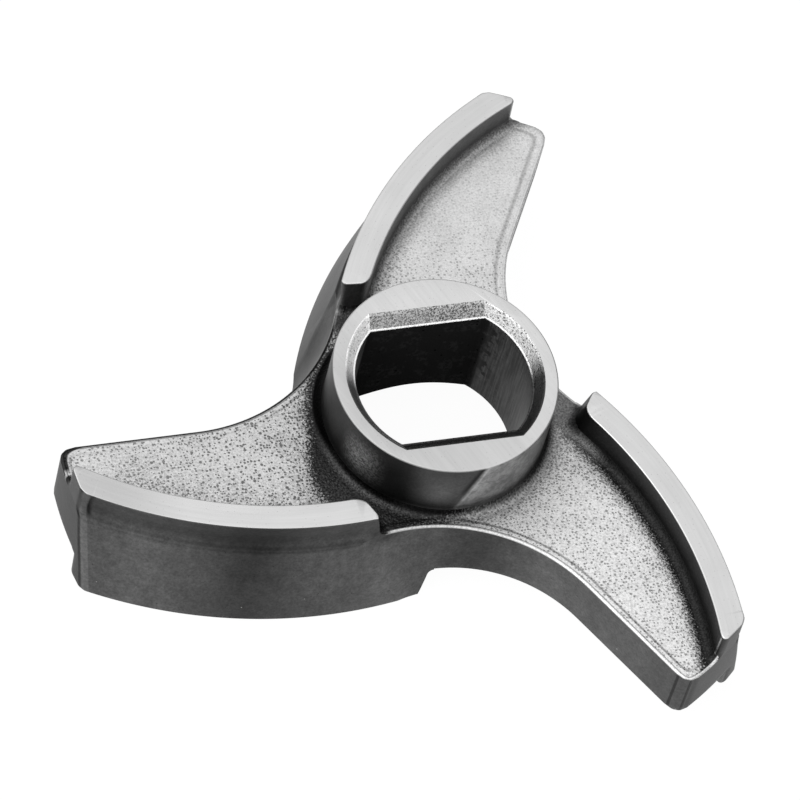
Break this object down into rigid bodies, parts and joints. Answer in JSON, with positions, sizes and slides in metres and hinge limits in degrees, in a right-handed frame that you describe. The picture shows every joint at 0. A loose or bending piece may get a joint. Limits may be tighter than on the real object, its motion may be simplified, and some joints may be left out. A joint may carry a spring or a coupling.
{
  "type": "meat grinder knife",
  "caption": "Cast steel meat grinder knife with curved arms, raised cutting rails on both faces and a round collar with a double-D bore.",
  "frame": {"origin": "on the bore's axis at the height of the mass centre, 9.73 mm above the lower rails' faces", "axes": "+Z along the bore's axis, out of the collar; X along the bore's two flats, with one arm pointing to -X"},
  "size_m": [0.0853, 0.0923, 0.023],
  "materials": {
    "cast_steel": "blasted casting with ground rails and collar face"
  },
  "bodies": {
    "root": {"grinder_knife": "cast_steel"}
  },
  "joints": []
}
